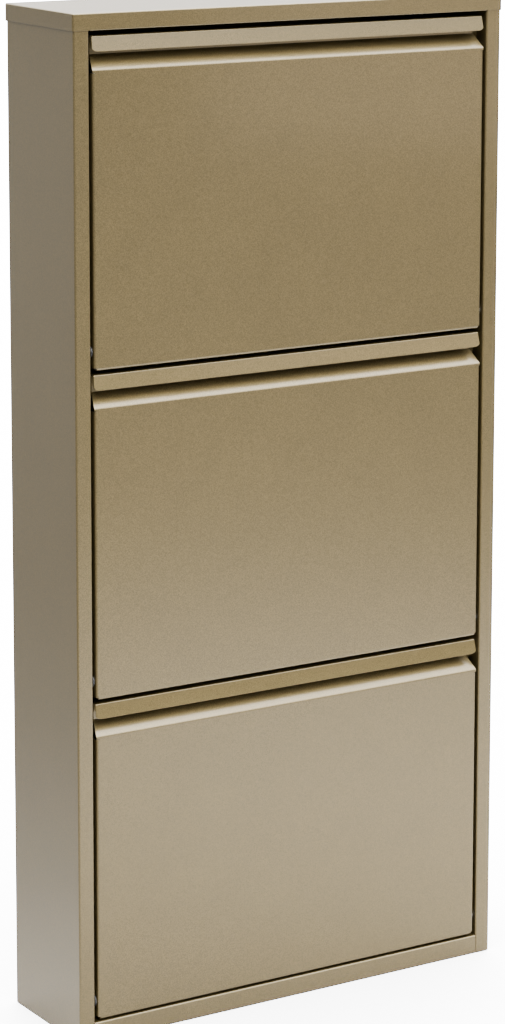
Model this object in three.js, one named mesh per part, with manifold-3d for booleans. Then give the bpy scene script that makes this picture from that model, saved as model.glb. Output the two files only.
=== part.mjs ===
// A slim shoe cabinet of folded sheet steel: a tall shallow case with three flaps, one above the
// other, that tip outward about pins near their lower edges. Behind each flap hangs a pocket
// for a row of shoes, made of two side cheeks, a tray and a rear rail.
//
// Millimetres, +Z up. The origin is on the floor, in the middle of the footprint.
// +X is to the right as one stands in front, and the front looks towards -Y.

import * as THREE from "three";
import { mergeVertices } from "three/addons/utils/BufferGeometryUtils.js";
import Module from "manifold-3d";

const wasm = await Module();
wasm.setup();

// ---- Driving sizes ----

const WIDTH = 500; // over the top cover
const DEPTH = 140; // over the top cover
const HEIGHT = 1030;
const FLAP_COUNT = 3;

const SHEET = 0.8; // steel thickness of every folded piece
const SEAM = 0.1; // left between two sheets that lie on each other
const FIT = 0.2; // radial play of pins, screws and bushes in their holes
const FLOOR_GAP = 1; // sheet edges stay this far above the floor

const COVER_SKIRT = 17; // height of the top cover's skirt
const COVER_EDGE = 1.5; // rounding of the cover's top edge
const COVER_CORNER = 2; // rounding of the cover's upright corners
const COVER_RETURN = 10; // fold under the front skirt
const COVER_PLAY = 0.2; // between the cover's skirt and the side panels inside it

const STILE = 18; // front flange of a side panel, seen from the front, cover step included
const STILE_RETURN = 25; // depth of the fold behind a stile's inner edge
const REAR_FLANGE = 16; // fold of a side panel behind the cabinet
const PANEL_BEND = 2; // outside radius of the bends of a side panel

const RAIL = 20; // height of the base's front rail
const BOTTOM_GAP = 2.5; // base rail to lowest flap
const FLAP_GAP = 4.6; // flap to flap
const TOP_GAP = 5.4; // highest flap to the cover's skirt
const SIDE_GAP = 3.5; // flap to stile

const FLAP_BEND = 2.5; // outside radius of a flap's face bends
const FLAP_FLANGE = 18; // depth of a flap's side and bottom folds
const LIP = 15; // height of the finger lip
const LIP_TILT = 12; // degrees that the lip's face leans back
const LIP_CORNER = 6.5; // rounding of the lip's lower corners
const LIP_BEND = 1.4; // outside radius of the fold along the lip's top
const GRIP_DROP = 32.7; // top of the lip down to the bend where the slope starts
const GRIP_DEPTH = 14; // how far the slope runs back
const GRIP_END = 4; // how much shorter the recess is than the lip, each end

const PIVOT_BACK = 9; // hinge axis behind a flap's face
const PIVOT_UP = 18; // hinge axis above a flap's lower edge
const OPEN_ANGLE = 40; // degrees
const PIN_RADIUS = 3;
const PIN_HEAD = [6, 2.4]; // radius, thickness
const PIN_SNAP = [3.5, 1.6]; // radius, length of the catch on a pin's inner end
const BUSH_WALL = 1;
const BUSH_FLANGE = [6, 1.2]; // radius, thickness
const BUSH_TAIL = 1; // bush past the cheek's inner face

const POCKET_DEPTH = 122; // a cheek's rear edge behind the flap's face
const CHEEK_TOP_MARGIN = 4; // cheek below the grip bend
const CHEEK_BOTTOM = 2.5;
const CHEEK_ABOVE_STOP = 12; // cheek's rear edge above the stop pin
const CHEEK_CORNER = 14; // rounding of a cheek's rear upper corner
const CHEEK_CORNER_TURN = 30; // degrees, until it meets the sloping edge
const TRAY_SIDE = 12; // height of the tray's side folds
const TRAY_REAR = 36; // height of the tray's rear fold
const TRAY_IN = 4; // tray's rear fold in from a cheek's rear edge
const REAR_RAIL_HEIGHT = 26;
const REAR_RAIL_FOLD = 10;
const REAR_RAIL_IN = 2; // rear rail in from a cheek's rear edge
const REAR_RAIL_BELOW_STOP = 10;
const STOP_IN = 12; // stop pin in from a cheek's rear edge
const STOP_RADIUS = 3;
const STOP_NECK = 2; // radius where the stop pin passes its cheek
const STOP_TAIL = [2.8, 1]; // radius and thickness of its riveted inner end
const STOP_REACH = 9.5; // stop pin outward from the cheek
const STOP_GAP = 0.4; // stop pin to the stile's fold at the open limit

const CROSS_RAIL_BELOW = [25, 4]; // lower and upper edge below the top of the flap in front
const CROSS_RAIL_FOLD = 11;
const CROSS_RAIL_TAB = 7;
const BUFFER_THICK = 2.6;
const BUFFER_RADIUS = 5;
const BUFFER_TAPER = 1;
const BUFFER_IN = 48; // buffer inward from a flap's end

const WALL_RAIL_HEIGHT = 40;
const WALL_RAIL_DOWN = 50; // its upper edge below the cabinet's top
const WALL_RAIL_FOLD = 12;
const WALL_HOLE_RADIUS = 4;
const WALL_HOLE_X = 150;

const SCREW_RADIUS = 1.8;
const SCREW_HEAD = 4; // radius
const SCREW_LENGTH = 7;
const SCREW_CROWN = 2.8; // radius of the head's flat top
const SCREW_UP = 60; // lowest screw above the floor
const SCREW_DOWN = 130; // highest screw below the cabinet's top

const FOOT_PAD = [9, 4]; // radius, thickness
const FOOT_STEM = 5; // radius
const FOOT_SHOULDER = 2; // height of the cone between pad and stem
const FOOT_IN = 40; // foot inward from the side
const FOOT_END = 22; // foot from the front or the back

const CHAMFER = 1; // broken edge of a small turned piece
const CUT = 1; // how far a cutter runs past what it cuts
const DRILL = 4 * SHEET; // length of a cutter for a hole through one sheet
const ROUND = 16; // sides of a small round piece
const BEND_STEPS = 3; // straight steps in a bend
const CORNER_STEPS = 5; // straight steps in a rounded corner of a flat sheet

// ---- Places that follow from the sizes ----

const COVER_PROUD = SHEET + COVER_PLAY; // cover past the side panels and the stiles
const FACE_Y = -DEPTH / 2 + COVER_PROUD; // stiles, flaps and base rail lie in this plane
const SKIN_X = WIDTH / 2 - COVER_PROUD; // outer face of a side panel
const STILE_X = WIDTH / 2 - STILE; // inner edge of a stile
const FLAP_X = STILE_X - SIDE_GAP; // half the width of a flap
const BACK_PANEL_Y = DEPTH / 2 - 2 * (SHEET + SEAM) + SEAM; // front face of the back panel
const SIDE_BACK_Y = BACK_PANEL_Y - SEAM; // rear face of a side panel
const COVER_BOTTOM = HEIGHT - COVER_SKIRT;
const WALL_RAIL_TOP = HEIGHT - WALL_RAIL_DOWN;
const WALL_HOLE_Z = WALL_RAIL_TOP - WALL_RAIL_HEIGHT / 2;
const SCREW_HEIGHTS = {
  lower: SCREW_UP,
  middle: (SCREW_UP + HEIGHT - SCREW_DOWN) / 2,
  upper: HEIGHT - SCREW_DOWN,
};
const FLAP_HEIGHT =
  (COVER_BOTTOM - TOP_GAP - RAIL - BOTTOM_GAP - (FLAP_COUNT - 1) * FLAP_GAP) / FLAP_COUNT;
const flapBottom = (i) => RAIL + BOTTOM_GAP + i * (FLAP_HEIGHT + FLAP_GAP);
const FLAP_NAMES = ["bottom", "middle", "top"];
const SIDES = { left: -1, right: 1 };

const GRIP_Z = FLAP_HEIGHT - GRIP_DROP; // bend between face and slope, above the flap's bottom
const BUSH_RADIUS = PIN_RADIUS + FIT + BUSH_WALL;
const FLANGE_IN = FLAP_X - SHEET; // inner face of a flap's side fold
const CHEEK_OUT = FLANGE_IN - SEAM;
const CHEEK_IN = CHEEK_OUT - SHEET;

// A stop pin meets the rear edge of the stile's fold just as its flap reaches the open angle.
const openTurn = THREE.MathUtils.degToRad(OPEN_ANGLE);
const STOP_BACK = POCKET_DEPTH - STOP_IN;
const STOP_REACH_BACK = STILE_RETURN - PIVOT_BACK + STOP_RADIUS + STOP_GAP;
const STOP_UP =
  PIVOT_UP +
  ((STOP_BACK - PIVOT_BACK) * Math.cos(openTurn) - STOP_REACH_BACK) / Math.sin(openTurn);

// ---- Helpers ----

// A three.js geometry as a manifold-3d solid.
function solid(geometry) {
  const bare = geometry.clone();
  bare.deleteAttribute("normal");
  bare.deleteAttribute("uv");
  const merged = mergeVertices(bare, 1e-4);
  return new wasm.Manifold(
    new wasm.Mesh({
      numProp: 3,
      vertProperties: merged.attributes.position.array,
      triVerts: new Uint32Array(merged.index.array),
    }),
  );
}

// A manifold-3d solid as a three.js geometry.
function geometryOf(body) {
  const mesh = body.getMesh();
  const geometry = new THREE.BufferGeometry();
  geometry.setAttribute("position", new THREE.BufferAttribute(mesh.vertProperties, 3));
  geometry.setIndex(new THREE.BufferAttribute(mesh.triVerts, 1));
  const flat = geometry.toNonIndexed();
  flat.computeVertexNormals();
  return flat;
}

function joined(bodies) {
  return bodies.reduce((sum, next) => sum.add(next));
}

function box(x0, x1, y0, y1, z0, z1) {
  const geometry = new THREE.BoxGeometry(x1 - x0, y1 - y0, z1 - z0);
  geometry.translate((x0 + x1) / 2, (y0 + y1) / 2, (z0 + z1) / 2);
  return solid(geometry);
}

// A flat outline of [a, b] points pushed along one axis: "x" reads it as (y, z), "y" as (x, z)
// and "z" as (x, y).
function prism(points, axis, from, to) {
  const shape = new THREE.Shape(points.map(([a, b]) => new THREE.Vector2(a, b)));
  const geometry = new THREE.ExtrudeGeometry(shape, { depth: to - from, bevelEnabled: false });
  geometry.translate(0, 0, axis === "y" ? -to : from);
  const turn = new THREE.Matrix4();
  if (axis === "x") turn.set(0, 0, 1, 0, 1, 0, 0, 0, 0, 1, 0, 0, 0, 0, 0, 1);
  if (axis === "y") turn.makeRotationX(Math.PI / 2);
  geometry.applyMatrix4(turn);
  return solid(geometry);
}

// Outline of a folded sheet: its middle line, given by corner points and one bend radius each,
// thickened to both sides.
function sheetOutline(corners, radii, steps = BEND_STEPS) {
  const spots = [];
  corners.forEach(([a, b], i) => {
    const here = new THREE.Vector2(a, b);
    const before = i > 0 ? new THREE.Vector2(...corners[i - 1]) : null;
    const after = i < corners.length - 1 ? new THREE.Vector2(...corners[i + 1]) : null;
    const into = before && here.clone().sub(before).normalize();
    const out = after && after.clone().sub(here).normalize();
    if (!into || !out) {
      const way = into || out;
      spots.push([here, new THREE.Vector2(-way.y, way.x)]);
      return;
    }
    const turn = Math.atan2(into.cross(out), into.dot(out));
    const radius = radii[i];
    const reach = radius * Math.tan(Math.abs(turn) / 2);
    const start = here.clone().addScaledVector(into, -reach);
    const left = new THREE.Vector2(-into.y, into.x);
    const centre = start.clone().addScaledVector(left, Math.sign(turn) * radius);
    for (let s = 0; s <= steps; s += 1) {
      const angle = (turn * s) / steps;
      const spoke = start.clone().sub(centre).rotateAround(new THREE.Vector2(), angle);
      const normal = left.clone().rotateAround(new THREE.Vector2(), angle);
      spots.push([centre.clone().add(spoke), normal]);
    }
  });
  const side = (sign) =>
    spots.map(([spot, normal]) => {
      const moved = spot.clone().addScaledVector(normal, (sign * SHEET) / 2);
      return [moved.x, moved.y];
    });
  return [...side(-1), ...side(1).reverse()];
}

// A turned piece whose axis runs along "x", "y" or "z" from the given point. The profile holds
// [radius, distance along the axis] pairs that start and end on the axis or close on themselves.
function turned(profile, axis, [x, y, z], way = 1, sides = ROUND) {
  const points = profile.map(([r, h]) => new THREE.Vector2(r, h));
  if (THREE.ShapeUtils.area(points) < 0) points.reverse();
  const geometry = new THREE.LatheGeometry(points, sides);
  if (axis === "x") geometry.rotateZ((-Math.PI / 2) * way);
  if (axis === "y" && way < 0) geometry.rotateX(Math.PI);
  if (axis === "z") geometry.rotateX(Math.PI / 2);
  geometry.translate(x, y, z);
  return solid(geometry);
}

// A plain cylinder centred on a point, as long as asked for.
function rod(radius, length, axis, at) {
  const half = length / 2;
  return turned([[0, -half], [radius, -half], [radius, half], [0, half]], axis, at);
}

// Points of an arc, angles in degrees.
function arc(cx, cy, radius, from, to, steps) {
  return Array.from({ length: steps + 1 }, (_, s) => {
    const angle = THREE.MathUtils.degToRad(from + ((to - from) * s) / steps);
    return [cx + radius * Math.cos(angle), cy + radius * Math.sin(angle)];
  });
}

// ---- Finishes ----

const champagne = () =>
  new THREE.MeshStandardMaterial({ color: 0x9c9074, roughness: 0.42, metalness: 0.85 });
const zinc = () =>
  new THREE.MeshStandardMaterial({ color: 0xb4b6b8, roughness: 0.35, metalness: 1 });
const blackPlastic = () =>
  new THREE.MeshStandardMaterial({ color: 0x1d1d1e, roughness: 0.55, metalness: 0 });
const greyRubber = () =>
  new THREE.MeshStandardMaterial({ color: 0x3a3936, roughness: 0.85, metalness: 0 });

function piece(name, body, material) {
  const mesh = new THREE.Mesh(geometryOf(body), material);
  mesh.name = name;
  return mesh;
}

const group = new THREE.Group();

// ---- The case ----

// Side panel: one sheet folded into skin, rear flange, front stile and the stile's return, with
// holes for the hinge pins and the back panel's screws.
for (const [side, s] of Object.entries(SIDES)) {
  const skin = s * (SKIN_X - SHEET / 2);
  const back = SIDE_BACK_Y - SHEET / 2;
  const front = FACE_Y + SHEET / 2;
  const fold = s * (STILE_X + SHEET / 2);
  const bend = PANEL_BEND - SHEET / 2;
  const outline = sheetOutline(
    [
      [s * (SKIN_X - REAR_FLANGE), back],
      [skin, back],
      [skin, front],
      [fold, front],
      [fold, FACE_Y + STILE_RETURN],
    ],
    [0, bend, bend, bend, 0],
  );
  let body = prism(outline, "z", FLOOR_GAP, HEIGHT - SHEET - SEAM);
  for (let i = 0; i < FLAP_COUNT; i += 1) {
    const at = [fold, FACE_Y + PIVOT_BACK, flapBottom(i) + PIVOT_UP];
    body = body.subtract(rod(PIN_RADIUS + FIT, DRILL, "x", at));
  }
  for (const height of Object.values(SCREW_HEIGHTS)) {
    const at = [s * (SKIN_X - REAR_FLANGE / 2), back, height];
    body = body.subtract(rod(SCREW_RADIUS + FIT, DRILL, "y", at));
  }
  group.add(piece(side + "_side_panel", body, champagne()));
}

// Top cover: a shallow pressed lid whose front skirt folds back above the highest flap.
{
  const x = WIDTH / 2;
  const y = DEPTH / 2;
  const rounded = (grow, corner) => [
    ...arc(x + grow - corner, y + grow - corner, corner, 0, 90, BEND_STEPS),
    ...arc(-x - grow + corner, y + grow - corner, corner, 90, 180, BEND_STEPS),
    ...arc(-x - grow + corner, -y - grow + corner, corner, 180, 270, BEND_STEPS),
    ...arc(x + grow - corner, -y - grow + corner, corner, 270, 360, BEND_STEPS),
  ];
  const edgeStart = HEIGHT - COVER_EDGE;
  const skirt = prism(rounded(0, COVER_CORNER), "z", COVER_BOTTOM, edgeStart);
  const layers = [skirt];
  for (let k = 0; k < BEND_STEPS; k += 1) {
    const low = (Math.PI / 2) * (k / BEND_STEPS);
    const high = (Math.PI / 2) * ((k + 1) / BEND_STEPS);
    const shrink = COVER_EDGE * (1 - Math.cos((low + high) / 2));
    const from = edgeStart + COVER_EDGE * Math.sin(low);
    const to = edgeStart + COVER_EDGE * Math.sin(high);
    layers.push(prism(rounded(-shrink, COVER_CORNER), "z", from, to));
  }
  const hollow = box(
    -x + SHEET, x - SHEET, -y + SHEET, y - SHEET, COVER_BOTTOM - CUT, HEIGHT - SHEET,
  );
  const foldX = STILE_X - SEAM;
  const underFold = box(
    -foldX, foldX, -y + SHEET / 2, -y + COVER_RETURN, COVER_BOTTOM, COVER_BOTTOM + SHEET,
  );
  group.add(piece("top_cover", joined(layers).subtract(hollow).add(underFold), champagne()));
}

// Base: an upside-down tray whose front fold is the rail below the lowest flap.
{
  const low = FLOOR_GAP;
  const top = RAIL - SHEET / 2;
  const front = FACE_Y + SHEET / 2;
  const back = SIDE_BACK_Y - 2 * SHEET - SEAM + SHEET / 2;
  const bend = PANEL_BEND - SHEET / 2;
  const outline = sheetOutline(
    [[front, low], [front, top], [back, top], [back, low]],
    [0, bend, bend, 0],
  );
  const x = SKIN_X - SHEET - SEAM;
  let body = prism(outline, "x", -x, x);
  for (const s of Object.values(SIDES)) {
    const [near, far] = [s * (STILE_X - SEAM), s * (x + CUT)].sort((a, b) => a - b);
    const notchBack = FACE_Y + STILE_RETURN + SEAM;
    body = body.subtract(box(near, far, FACE_Y - CUT, notchBack, 0, RAIL + CUT));
    const [inner, outer] = [s * (SKIN_X - PANEL_BEND), s * (x + CUT)].sort((a, b) => a - b);
    body = body.subtract(box(inner, outer, back - PANEL_BEND, back + CUT, 0, RAIL + CUT));
  }
  group.add(piece("base_tray", body, champagne()));
}

// Back panel: a flat sheet outside the side panels' rear flanges, with two wall-fixing holes.
{
  const front = BACK_PANEL_Y;
  const x = SKIN_X - PANEL_BEND;
  let body = box(-x, x, front, front + SHEET, 2 * FLOOR_GAP, HEIGHT - 2 * SHEET);
  for (const s of Object.values(SIDES)) {
    for (const height of Object.values(SCREW_HEIGHTS)) {
      const at = [s * (SKIN_X - REAR_FLANGE / 2), front, height];
      body = body.subtract(rod(SCREW_RADIUS + FIT, DRILL, "y", at));
    }
    const hole = [s * WALL_HOLE_X, front, WALL_HOLE_Z];
    body = body.subtract(rod(WALL_HOLE_RADIUS, DRILL, "y", hole));
  }
  group.add(piece("back_panel", body, champagne()));
}

// Wall rail: a channel across the inside of the back panel that the wall screws pull against.
{
  const web = SIDE_BACK_Y - SHEET / 2;
  const fold = web - WALL_RAIL_FOLD;
  const high = WALL_RAIL_TOP - SHEET / 2;
  const low = WALL_RAIL_TOP - WALL_RAIL_HEIGHT + SHEET / 2;
  const bend = PANEL_BEND - SHEET / 2;
  const outline = sheetOutline(
    [[fold, low], [web, low], [web, high], [fold, high]],
    [0, bend, bend, 0],
  );
  const x = SKIN_X - REAR_FLANGE - SEAM;
  let body = prism(outline, "x", -x, x);
  for (const s of Object.values(SIDES)) {
    const hole = [s * WALL_HOLE_X, web, WALL_HOLE_Z];
    body = body.subtract(rod(WALL_HOLE_RADIUS, DRILL, "y", hole));
  }
  group.add(piece("wall_rail", body, zinc()));
}

// Back panel screws: pan heads behind the cabinet, shanks through panel and flange.
for (const [side, s] of Object.entries(SIDES)) {
  for (const [level, height] of Object.entries(SCREW_HEIGHTS)) {
    const seat = BACK_PANEL_Y + SHEET + SEAM;
    const thick = SHEET - SEAM;
    const profile = [
      [0, -SCREW_LENGTH],
      [SCREW_RADIUS, CHAMFER - SCREW_LENGTH],
      [SCREW_RADIUS, 0],
      [SCREW_HEAD, 0],
      [SCREW_CROWN, thick],
      [0, thick],
    ];
    const body = turned(profile, "y", [s * (SKIN_X - REAR_FLANGE / 2), seat, height]);
    group.add(piece(`back_screw_${side}_${level}`, body, zinc()));
  }
}

// Feet: moulded pads with a stem up to the underside of the base tray.
for (const [side, s] of Object.entries(SIDES)) {
  for (const [end, e] of Object.entries({ front: -1, back: 1 })) {
    const top = RAIL - SHEET - SEAM;
    const [pad, thick] = FOOT_PAD;
    const profile = [
      [0, 0],
      [pad - CHAMFER, 0],
      [pad, CHAMFER],
      [pad, thick],
      [FOOT_STEM, thick + FOOT_SHOULDER],
      [FOOT_STEM, top],
      [0, top],
    ];
    const at = [s * (WIDTH / 2 - FOOT_IN), e * (DEPTH / 2 - FOOT_END), 0];
    group.add(piece(`foot_${end}_${side}`, turned(profile, "z", at), blackPlastic()));
  }
}

// ---- Cross rails, rubber buffers and hinge pins, one set for each flap ----

for (let i = 0; i < FLAP_COUNT; i += 1) {
  const name = FLAP_NAMES[i];
  const top = flapBottom(i) + FLAP_HEIGHT;
  const recessBack = FACE_Y + GRIP_DEPTH + SHEET;
  const webFront = recessBack + SEAM + BUFFER_THICK + SEAM;

  // Cross rail: a channel between the stiles' returns, open to the rear, with a tab at each end.
  const web = webFront + SHEET / 2;
  const [low, high] = CROSS_RAIL_BELOW.map((below) => top - below);
  const bend = PANEL_BEND - SHEET / 2;
  const outline = sheetOutline(
    [
      [web + CROSS_RAIL_FOLD, low + SHEET / 2],
      [web, low + SHEET / 2],
      [web, high - SHEET / 2],
      [web + CROSS_RAIL_FOLD, high - SHEET / 2],
    ],
    [0, bend, bend, 0],
  );
  const x = STILE_X - SEAM;
  const rail = [prism(outline, "x", -x, x)];
  for (const s of Object.values(SIDES)) {
    const [near, far] = [s * x, s * (x - SHEET)].sort((a, b) => a - b);
    rail.push(box(near, far, web, web + CROSS_RAIL_TAB, low + bend, high - bend));
  }
  group.add(piece(name + "_cross_rail", joined(rail), champagne()));

  for (const [side, s] of Object.entries(SIDES)) {
    const middle = top - (CROSS_RAIL_BELOW[0] + CROSS_RAIL_BELOW[1]) / 2;
    const seat = [s * (FLAP_X - BUFFER_IN), webFront - SEAM, middle];
    const buffer = turned(
      [[0, 0], [BUFFER_RADIUS, 0], [BUFFER_RADIUS - BUFFER_TAPER, BUFFER_THICK], [0, BUFFER_THICK]],
      "y", seat, -1,
    );
    group.add(piece(`${name}_buffer_${side}`, buffer, greyRubber()));

    // Hinge pin: its head lies on the hidden side of the stile's return, and its shank runs
    // inward through the return and the flap's bush to a catch.
    const [head, headThick] = PIN_HEAD;
    const [snap, snapLength] = PIN_SNAP;
    const seatX = STILE_X + SHEET + SEAM;
    const bushEnd = seatX - (CHEEK_IN - BUSH_TAIL);
    const profile = [
      [0, -headThick],
      [head - CHAMFER, -headThick],
      [head, CHAMFER - headThick],
      [head, 0],
      [PIN_RADIUS, 0],
      [PIN_RADIUS, bushEnd + SEAM],
      [snap, bushEnd + SEAM],
      [PIN_RADIUS - CHAMFER, bushEnd + SEAM + snapLength],
      [0, bushEnd + SEAM + snapLength],
    ];
    const at = [s * seatX, FACE_Y + PIVOT_BACK, flapBottom(i) + PIVOT_UP];
    group.add(piece(`${name}_hinge_pin_${side}`, turned(profile, "x", at, -s), zinc()));
  }
}

// ---- Flaps: each is drawn with y from its own face and z from its own lower edge ----

// One sheet makes the face, its side and bottom folds, the grip slope, the recess behind the
// fingers and the lip that hooks forward over it.
function flapFront() {
  const half = SHEET / 2;
  const slopeShift = half * Math.tan(Math.PI / 8);
  const tilt = THREE.MathUtils.degToRad(LIP_TILT);
  const lipTopBack = (LIP - half) * Math.tan(tilt) + half / Math.cos(tilt);
  const faceBend = FLAP_BEND - half;
  const lipBend = LIP_BEND - half;
  const overlapZ = GRIP_Z - FLAP_BEND;

  const face = sheetOutline(
    [
      [-FLAP_X + half, FLAP_FLANGE],
      [-FLAP_X + half, half],
      [FLAP_X - half, half],
      [FLAP_X - half, FLAP_FLANGE],
    ],
    [0, faceBend, faceBend, 0],
  );
  const pan = prism(face, "z", FLAP_BEND, overlapZ);

  const foot = sheetOutline(
    [[half, 2 * FLAP_BEND], [half, half], [FLAP_FLANGE, half]],
    [0, faceBend, 0],
  );
  const footX = FLAP_X - FLAP_BEND;

  const grip = sheetOutline(
    [
      [half, overlapZ - half],
      [half, GRIP_Z - slopeShift],
      [GRIP_DEPTH + half, GRIP_Z - slopeShift + GRIP_DEPTH],
      [GRIP_DEPTH + half, FLAP_HEIGHT - half],
      [lipTopBack, FLAP_HEIGHT - half],
      [half / Math.cos(tilt), FLAP_HEIGHT - LIP],
    ],
    [0, faceBend, lipBend, lipBend, lipBend, 0],
  );
  const gripBody = prism(grip, "x", -FLAP_X, FLAP_X);

  let body = joined([pan, prism(foot, "x", -footX, footX), gripBody]);
  const lipLow = FLAP_HEIGHT - LIP;
  for (const s of Object.values(SIDES)) {
    const notch = [
      [s * FLAP_X, SHEET + half],
      [s * (FLAP_X - GRIP_END), GRIP_DEPTH],
      [s * (FLAP_X - GRIP_END), GRIP_DEPTH + FLAP_BEND],
      [s * (FLAP_X + CUT), GRIP_DEPTH + FLAP_BEND],
      [s * (FLAP_X + CUT), SHEET + half],
    ];
    body = body.subtract(prism(notch, "z", GRIP_Z, FLAP_HEIGHT + CUT));
    const corner = [
      ...arc(FLAP_X - LIP_CORNER, lipLow + LIP_CORNER, LIP_CORNER, -90, 0, CORNER_STEPS),
      [FLAP_X + CUT, lipLow + LIP_CORNER],
      [FLAP_X + CUT, lipLow - CUT],
      [FLAP_X - LIP_CORNER, lipLow - CUT],
    ].map(([x, z]) => [s * x, z]);
    body = body.subtract(prism(corner, "y", -CUT, LIP_BEND + 2 * SHEET));
    body = body.subtract(
      rod(BUSH_RADIUS + FIT, DRILL, "x", [s * FLAP_X, PIVOT_BACK, PIVOT_UP]),
    );
  }
  return body;
}

// Cheek: the flat end of a shoe pocket, welded to the inside of a side fold.
function cheek(s) {
  const rear = POCKET_DEPTH;
  const top = GRIP_Z - CHEEK_TOP_MARGIN;
  const front = SHEET + SEAM + FLAP_BEND;
  const cornerZ = STOP_UP + CHEEK_ABOVE_STOP - CHEEK_CORNER;
  const outline = [
    [front, CHEEK_BOTTOM],
    [rear, CHEEK_BOTTOM],
    ...arc(rear - CHEEK_CORNER, cornerZ, CHEEK_CORNER, 0, CHEEK_CORNER_TURN, CORNER_STEPS),
    [FLAP_FLANGE, top],
    [front, top],
  ];
  const [near, far] = [s * CHEEK_IN, s * CHEEK_OUT].sort((a, b) => a - b);
  const pinHole = rod(STOP_NECK + FIT, DRILL, "x", [s * CHEEK_OUT, STOP_BACK, STOP_UP]);
  const bushHole = rod(BUSH_RADIUS + FIT, DRILL, "x", [s * CHEEK_OUT, PIVOT_BACK, PIVOT_UP]);
  return prism(outline, "x", near, far).subtract(pinHole).subtract(bushHole);
}

function stopPin(s) {
  const seat = CHEEK_OUT + SEAM;
  const inner = CHEEK_IN - SEAM - seat;
  const [tail, tailThick] = STOP_TAIL;
  const profile = [
    [0, inner - tailThick],
    [tail, inner - tailThick],
    [tail, inner],
    [STOP_NECK, inner],
    [STOP_NECK, 0],
    [STOP_RADIUS, 0],
    [STOP_RADIUS, STOP_REACH],
    [0, STOP_REACH],
  ];
  return turned(profile, "x", [s * seat, STOP_BACK, STOP_UP], s);
}

function bush(s) {
  const [rim, thick] = BUSH_FLANGE;
  const bore = PIN_RADIUS + FIT;
  const inner = FLAP_X + SEAM - CHEEK_IN + BUSH_TAIL;
  const profile = [
    [bore, thick],
    [rim, thick],
    [rim, 0],
    [BUSH_RADIUS, 0],
    [BUSH_RADIUS, -inner],
    [bore, -inner],
    [bore, thick],
  ];
  return turned(profile, "x", [s * (FLAP_X + SEAM), PIVOT_BACK, PIVOT_UP], s);
}

// Tray: the floor of a shoe pocket, turned up at both ends and higher at the rear.
function shoeTray() {
  const half = SHEET / 2;
  const floor = SHEET + SEAM + half;
  const front = SHEET + FLAP_BEND;
  const rear = POCKET_DEPTH - TRAY_IN + half;
  const x = CHEEK_IN - SEAM;
  const bend = PANEL_BEND - half;
  const outline = sheetOutline([[front, floor], [rear, floor], [rear, TRAY_REAR]], [0, bend, 0]);
  const ends = Object.values(SIDES).map((s) => {
    const [near, far] = [s * x, s * (x - SHEET)].sort((a, b) => a - b);
    return box(near, far, front, rear - PANEL_BEND, SHEET + SEAM, TRAY_SIDE);
  });
  return joined([prism(outline, "x", -x, x), ...ends]);
}

// Rear rail: a channel across the back of a shoe pocket, between the cheeks.
function rearRail() {
  const half = SHEET / 2;
  const high = STOP_UP - REAR_RAIL_BELOW_STOP;
  const low = high - REAR_RAIL_HEIGHT;
  const bend = PANEL_BEND - half;
  const edge = POCKET_DEPTH - REAR_RAIL_IN;
  const web = edge - REAR_RAIL_FOLD;
  const outline = sheetOutline(
    [
      [edge, low + half],
      [web, low + half],
      [web, high - half],
      [edge, high - half],
    ],
    [0, bend, bend, 0],
  );
  const x = CHEEK_IN - SEAM;
  return prism(outline, "x", -x, x);
}

for (let i = 0; i < FLAP_COUNT; i += 1) {
  const name = FLAP_NAMES[i];
  const flap = new THREE.Group();
  flap.position.set(0, FACE_Y, flapBottom(i));
  flap.add(piece(name + "_flap_front", flapFront(), champagne()));
  flap.add(piece(name + "_shoe_tray", shoeTray(), champagne()));
  flap.add(piece(name + "_rear_rail", rearRail(), champagne()));
  for (const [side, s] of Object.entries(SIDES)) {
    flap.add(piece(`${name}_cheek_${side}`, cheek(s), champagne()));
    flap.add(piece(`${name}_hinge_bush_${side}`, bush(s), blackPlastic()));
    flap.add(piece(`${name}_stop_pin_${side}`, stopPin(s), zinc()));
  }
  group.add(flap);
}

export default group;
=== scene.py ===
# %% [markdown]
# # Slim shoe cabinet with three tip-out flaps
# The cabinet is folded sheet steel in a champagne metallic powder coat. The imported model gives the
# place and overall size of every piece; here the sheets get bend radii, soft edges and finishes.

# %% Load the frame
import bpy, bmesh, math
from mathutils import Matrix, Vector


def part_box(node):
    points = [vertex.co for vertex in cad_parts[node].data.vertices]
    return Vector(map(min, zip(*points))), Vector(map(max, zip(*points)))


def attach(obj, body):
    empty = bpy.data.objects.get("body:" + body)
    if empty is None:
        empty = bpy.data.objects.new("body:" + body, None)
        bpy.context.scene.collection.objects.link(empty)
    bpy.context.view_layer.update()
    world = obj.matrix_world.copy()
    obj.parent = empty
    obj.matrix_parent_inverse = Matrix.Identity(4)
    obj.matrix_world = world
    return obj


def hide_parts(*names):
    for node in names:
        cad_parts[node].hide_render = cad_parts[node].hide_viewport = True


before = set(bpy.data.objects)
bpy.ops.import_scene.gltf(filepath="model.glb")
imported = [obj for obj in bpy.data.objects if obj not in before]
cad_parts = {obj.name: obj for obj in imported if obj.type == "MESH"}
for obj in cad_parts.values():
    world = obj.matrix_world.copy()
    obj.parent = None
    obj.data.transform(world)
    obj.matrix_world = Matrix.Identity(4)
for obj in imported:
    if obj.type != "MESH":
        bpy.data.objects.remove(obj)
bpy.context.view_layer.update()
mm = 0.001

# %% [markdown]
# ## Sizes
# The sheet thickness and the bend radii are guesses, typical of such a cabinet. The sizes of the
# lip and the grip repeat the model's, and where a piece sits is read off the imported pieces.

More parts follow.
